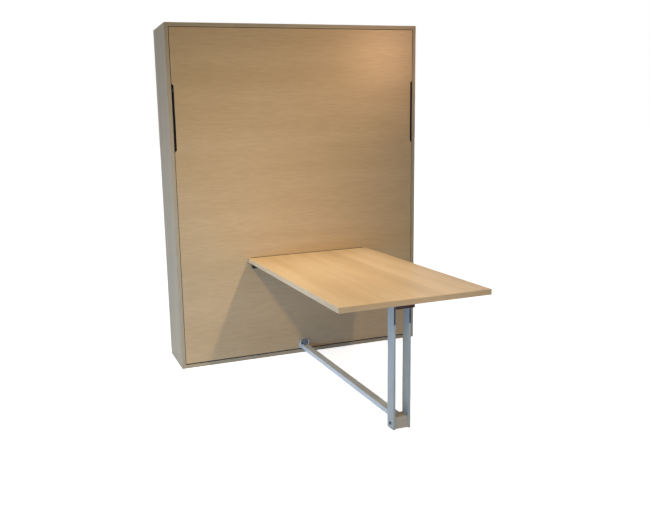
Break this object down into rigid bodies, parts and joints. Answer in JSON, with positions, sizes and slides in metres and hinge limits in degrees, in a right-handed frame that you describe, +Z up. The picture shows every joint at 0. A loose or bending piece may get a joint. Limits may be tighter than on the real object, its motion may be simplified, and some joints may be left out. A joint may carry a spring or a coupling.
{
  "type": "wall bed with fold down desk",
  "caption": "Wall bed that tilts out of an upright cabinet, with a desk hinged to its front on a parallelogram leg linkage that folds flat as the bed opens.",
  "frame": {"origin": "middle of the underside of the cabinet's bottom panel, on the floor", "axes": "+X to the right seen from the front, +Y towards the wall, +Z up"},
  "size_m": [1.775, 1.7937, 2.25],
  "materials": {
    "carcass_board": "satin melamine wood decor",
    "front_veneer": "satin oak decor, horizontal grain",
    "desk_veneer": "satin oak decor",
    "beech_ply": "sealed beech plywood",
    "zinc_steel": "zinc plated",
    "silver_leg_paint": "silver grey powder coat",
    "black_frame_paint": "black powder coat",
    "dark_wood_stain": "dark stained batten",
    "black_plastic": "moulded",
    "white_nylon": "turned nylon",
    "rubber": "matt",
    "mattress_cloth": "knitted ticking",
    "strap_webbing": "woven polyester webbing"
  },
  "bodies": {
    "cabinet": {"side_panel_left": "carcass_board", "side_panel_right": "carcass_board", "top_panel": "carcass_board", "bottom_panel": "carcass_board", "rear_bottom_rail": "carcass_board", "headboard_panel": "carcass_board", "rear_stiles": "carcass_board", "rear_top_rail": "carcass_board", "rear_angles": "zinc_steel", "carcass_dowels": "beech_ply", "stop_cleat": "carcass_board", "pivot_plate_left": "zinc_steel", "pivot_plate_right": "zinc_steel", "strut_studs": "zinc_steel"},
    "bed": {"front_panel": "front_veneer", "grip_liners": "black_plastic", "side_rail_left": "black_frame_paint", "side_rail_right": "black_frame_paint", "head_rail": "black_frame_paint", "foot_rail": "black_frame_paint", "centre_rail": "black_frame_paint", "rail_end_plugs": "black_plastic", "panel_clips": "zinc_steel", "crank_plate_left": "zinc_steel", "crank_plate_right": "zinc_steel", "pivot_bushes": "white_nylon", "slats_left": "beech_ply", "slats_right": "beech_ply", "slat_holders": "black_plastic", "head_stop_board": "carcass_board", "foot_bow": "black_frame_paint", "mattress": "mattress_cloth", "mattress_straps": "strap_webbing", "support_pins": "zinc_steel", "desk_batten": "dark_wood_stain", "panel_hinge_leaf": "black_frame_paint", "hinge_pin": "zinc_steel", "bar_clevis": "silver_leg_paint", "bar_pivot_bolt": "zinc_steel"},
    "desk": {"tabletop": "desk_veneer", "table_hinge_leaf": "black_frame_paint", "leg_batten": "dark_wood_stain", "leg_bracket": "black_frame_paint", "leg_pivot_bolts": "zinc_steel"},
    "desk_leg": {"leg_tube_left": "silver_leg_paint", "leg_tube_right": "silver_leg_paint", "leg_feet": "black_plastic", "foot_pivot_bolt": "zinc_steel"},
    "desk_link": {"link_bar": "silver_leg_paint", "bar_eye": "black_frame_paint", "bar_foot_block": "silver_leg_paint"},
    "left_support": {"support_leg_left": "black_frame_paint", "support_foot_left": "rubber"},
    "right_support": {"support_leg_right": "black_frame_paint", "support_foot_right": "rubber"},
    "left_cylinder": {"strut_cylinder_left": "black_frame_paint"},
    "right_cylinder": {"strut_cylinder_right": "black_frame_paint"},
    "left_rod": {"strut_rod_left": "zinc_steel"},
    "right_rod": {"strut_rod_right": "zinc_steel"}
  },
  "joints": [
    {"name": "bed_tilt", "type": "hinge", "parent": "cabinet", "child": "bed", "pos_m": [0, -0.13435, 0.32], "axis": [1, 0, 0], "range_deg": [0, 90]},
    {"name": "desk_fold", "type": "hinge", "parent": "bed", "child": "desk", "pos_m": [0.047, -0.18585, 0.7215], "axis": [1, 0, 0], "range_deg": [-90, 0]},
    {"name": "leg_fold", "type": "hinge", "parent": "desk", "child": "desk_leg", "pos_m": [-0.004, -1.50135, 0.663], "axis": [1, 0, 0], "range_deg": [0, 90]},
    {"name": "link_fold", "type": "hinge", "parent": "bed", "child": "desk_link", "pos_m": [-0.004, -0.19885, 0.0865], "axis": [1, 0, 0], "range_deg": [-90, 0]},
    {"name": "left_support_swing", "type": "hinge", "parent": "bed", "child": "left_support", "pos_m": [-0.853, -0.13435, 1.84], "axis": [1, 0, 0], "range_deg": [-90, 0]},
    {"name": "left_strut_swing", "type": "hinge", "parent": "cabinet", "child": "left_cylinder", "pos_m": [-0.847, 0.04565, 0.96], "axis": [1, 0, 0], "range_deg": [0, 5.7]},
    {"name": "left_strut_slide", "type": "slide", "parent": "left_cylinder", "child": "left_rod", "axis": [0, -0.1502, -0.9887], "range_m": [-0.219, 0]},
    {"name": "right_support_swing", "type": "hinge", "parent": "bed", "child": "right_support", "pos_m": [0.853, -0.13435, 1.84], "axis": [1, 0, 0], "range_deg": [-90, 0]},
    {"name": "right_strut_swing", "type": "hinge", "parent": "cabinet", "child": "right_cylinder", "pos_m": [0.847, 0.04565, 0.96], "axis": [1, 0, 0], "range_deg": [0, 5.7]},
    {"name": "right_strut_slide", "type": "slide", "parent": "right_cylinder", "child": "right_rod", "axis": [0, -0.1502, -0.9887], "range_m": [-0.219, 0]}
  ],
  "couplings": [
    {"joint": "desk_fold", "follows": "bed_tilt", "ratio": -1},
    {"joint": "leg_fold", "follows": "bed_tilt", "ratio": 1},
    {"joint": "link_fold", "follows": "bed_tilt", "ratio": -1},
    {"joint": "left_support_swing", "follows": "bed_tilt", "ratio": -1},
    {"joint": "left_strut_swing", "follows": "bed_tilt", "ratio": 0.063069},
    {"joint": "left_strut_slide", "follows": "bed_tilt", "m_per_rad": -0.13897},
    {"joint": "right_support_swing", "follows": "bed_tilt", "ratio": -1},
    {"joint": "right_strut_swing", "follows": "bed_tilt", "ratio": 0.063069},
    {"joint": "right_strut_slide", "follows": "bed_tilt", "m_per_rad": -0.13897}
  ]
}
